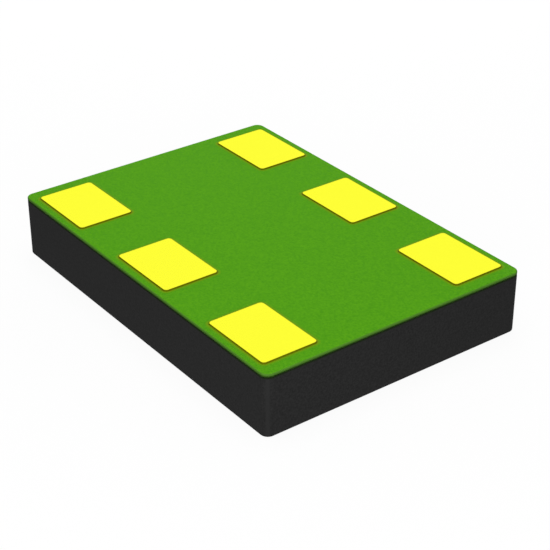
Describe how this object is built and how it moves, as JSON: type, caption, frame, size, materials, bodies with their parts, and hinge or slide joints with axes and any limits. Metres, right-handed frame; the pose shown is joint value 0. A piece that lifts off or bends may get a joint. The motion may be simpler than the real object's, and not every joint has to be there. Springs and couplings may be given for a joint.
{
  "type": "crystal oscillator",
  "caption": "Low surface-mount clock oscillator: black moulded cap on a thin green board, with two rows of flat gold pads for soldering.",
  "frame": {"origin": "centre of the marking face, on which the part lies, at its lowest level", "axes": "+Z from the marking face to the solder pads; +X along the rows of pads, from pad 1 towards pad 3; +Y from the row of pads 4 to 6 towards the row of pads 1 to 3"},
  "size_m": [0.007, 0.005, 0.0011],
  "materials": {
    "moulding_compound": "moulded, very fine matt grain",
    "green_laminate": "green solder mask, satin",
    "pad_plating": "bright gold plating",
    "copper_foil": "etched copper, satin",
    "alumina": "fired, unglazed",
    "iron_nickel_alloy": "rolled, satin",
    "quartz": "lapped, slightly frosted",
    "electrode_silver": "evaporated metal, bright",
    "silver_adhesive": "cured, dull",
    "gold_metallisation": "plated, satin",
    "solder": "reflowed, bright",
    "silicon": "polished",
    "die_epoxy": "cured, dull",
    "gold_wire": "drawn, bright",
    "capacitor_ceramic": "fired, matt",
    "tinned_terminals": "plated tin, satin"
  },
  "bodies": {
    "root": {"mould_cap": "moulding_compound", "laminate": "green_laminate", "pad_1_enable": "pad_plating", "pad_2_no_connection": "pad_plating", "pad_3_ground": "pad_plating", "pad_4_output": "pad_plating", "pad_5_inverted_output": "pad_plating", "pad_6_supply": "pad_plating", "track_enable": "copper_foil", "track_ground": "copper_foil", "track_output": "copper_foil", "track_inverted_output": "copper_foil", "track_supply": "copper_foil", "track_crystal_drive": "copper_foil", "track_crystal_sense": "copper_foil", "crystal_anchor_land": "copper_foil", "crystal_base": "alumina", "crystal_mount_pads": "gold_metallisation", "crystal_seal_ring": "iron_nickel_alloy", "crystal_lid": "iron_nickel_alloy", "quartz_blank": "quartz", "electrode_top": "electrode_silver", "electrode_bottom": "electrode_silver", "adhesive_dabs": "silver_adhesive", "crystal_terminals": "gold_metallisation", "crystal_solder": "solder", "circuit_die": "silicon", "die_attach": "die_epoxy", "bond_wires": "gold_wire", "capacitor_body": "capacitor_ceramic", "capacitor_terminals": "tinned_terminals", "capacitor_solder": "solder"}
  },
  "joints": []
}
